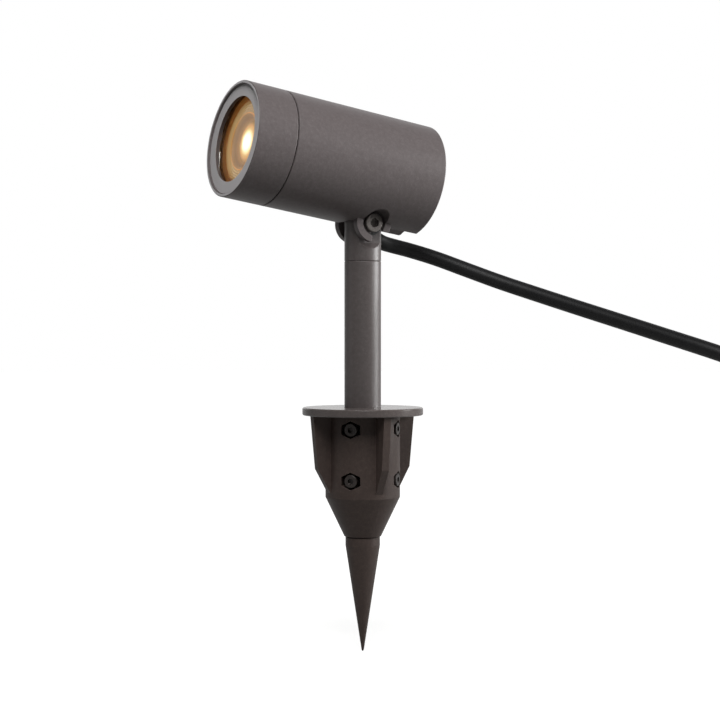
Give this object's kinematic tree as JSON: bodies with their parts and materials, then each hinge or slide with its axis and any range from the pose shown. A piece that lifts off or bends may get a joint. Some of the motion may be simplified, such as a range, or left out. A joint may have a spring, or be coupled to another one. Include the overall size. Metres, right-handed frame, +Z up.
{
  "type": "landscape spotlight",
  "caption": "Cylinder garden spotlight that tilts on a knuckle over a round post, with a ground plate, a ribbed ground stake and a mains lead.",
  "frame": {"origin": "centre of the ground plate's underside, on the post's axis, at ground level", "axes": "+Z up along the post, -Y towards the side the lens faces, X along the tilt pivot with the screw head at +X"},
  "size_m": [0.1894, 0.3999, 0.3073],
  "materials": {
    "stake_plastic": "dark brown moulded plastic",
    "tip_plastic": "dark brown moulded plastic",
    "coated_steel": "fine-textured powder coat",
    "coated_aluminium": "fine-textured powder coat on cast aluminium",
    "steel": "zinc-plated",
    "screw_steel": "stainless",
    "washer_plastic": "moulded nylon",
    "seal_rubber": "soft",
    "silicone": "soft translucent silicone",
    "clear_glass": "clear tempered",
    "lamp_shell": "reflector lamp shell",
    "lamp_lens": "warm clear lens",
    "lamp_light": "yellow phosphor dome",
    "plated_pin": "nickel-plated",
    "ceramic": "steatite",
    "terminal_plastic": "moulded",
    "brass": "turned",
    "gland_plastic": "moulded nylon",
    "cord_rubber": "smooth rubber sheath",
    "core_insulation": "coloured insulation",
    "wire_insulation": "silicone insulation",
    "tie_plastic": "moulded nylon",
    "plug_rubber": "moulded rubber"
  },
  "bodies": {
    "stand": {"spike_body": "stake_plastic", "spike_tip": "tip_plastic", "ground_plate": "coated_steel", "post_spigot": "steel", "clamp_nuts": "steel", "clamp_screws": "steel", "post_tube": "coated_steel", "post_knuckle": "coated_aluminium", "cord_lead": "cord_rubber", "cord_coil": "cord_rubber", "cord_tail": "cord_rubber", "cord_tie": "tie_plastic", "plug_boot": "plug_rubber", "plug_body": "plug_rubber", "plug_pins": "plated_pin", "plug_clips": "plated_pin"},
    "head": {"head_housing": "coated_aluminium", "pivot_screw": "screw_steel", "friction_washers": "washer_plastic", "bezel_seal": "seal_rubber", "lamp_body": "lamp_shell", "lamp_lens": "lamp_lens", "lamp_led": "lamp_light", "lamp_pins": "plated_pin", "lamp_holder": "ceramic", "holder_bracket": "steel", "holder_screws": "steel", "terminal_block": "terminal_plastic", "terminal_screws": "brass", "earth_screw": "brass", "gland_body": "gland_plastic", "gland_nut": "gland_plastic", "gland_seal": "seal_rubber", "inner_cord": "cord_rubber", "mains_cores": "core_insulation", "lamp_wires": "wire_insulation"},
    "glass_set": {"front_glass": "clear_glass", "glass_gasket": "silicone", "glass_clip": "steel"},
    "bezel": {"bezel": "coated_aluminium"}
  },
  "joints": [
    {"name": "head_tilt", "type": "hinge", "parent": "stand", "child": "head", "pos_m": [0, 0, 0.1044], "axis": [-1, 0, 0], "range_deg": [-44, 50], "deforming": ["cord_lead"]},
    {"name": "bezel_travel", "type": "slide", "parent": "head", "child": "glass_set", "axis": [0, -0.9863, 0.165], "range_m": [0, 0.013]},
    {"name": "bezel_turn", "type": "hinge", "parent": "glass_set", "child": "bezel", "pos_m": [0, -0.07408, 0.1464], "axis": [0, -0.9863, 0.165], "range_deg": [0, 1560]}
  ],
  "couplings": [
    {"joint": "bezel_travel", "follows": "bezel_turn", "m_per_rad": 0.00047746}
  ]
}
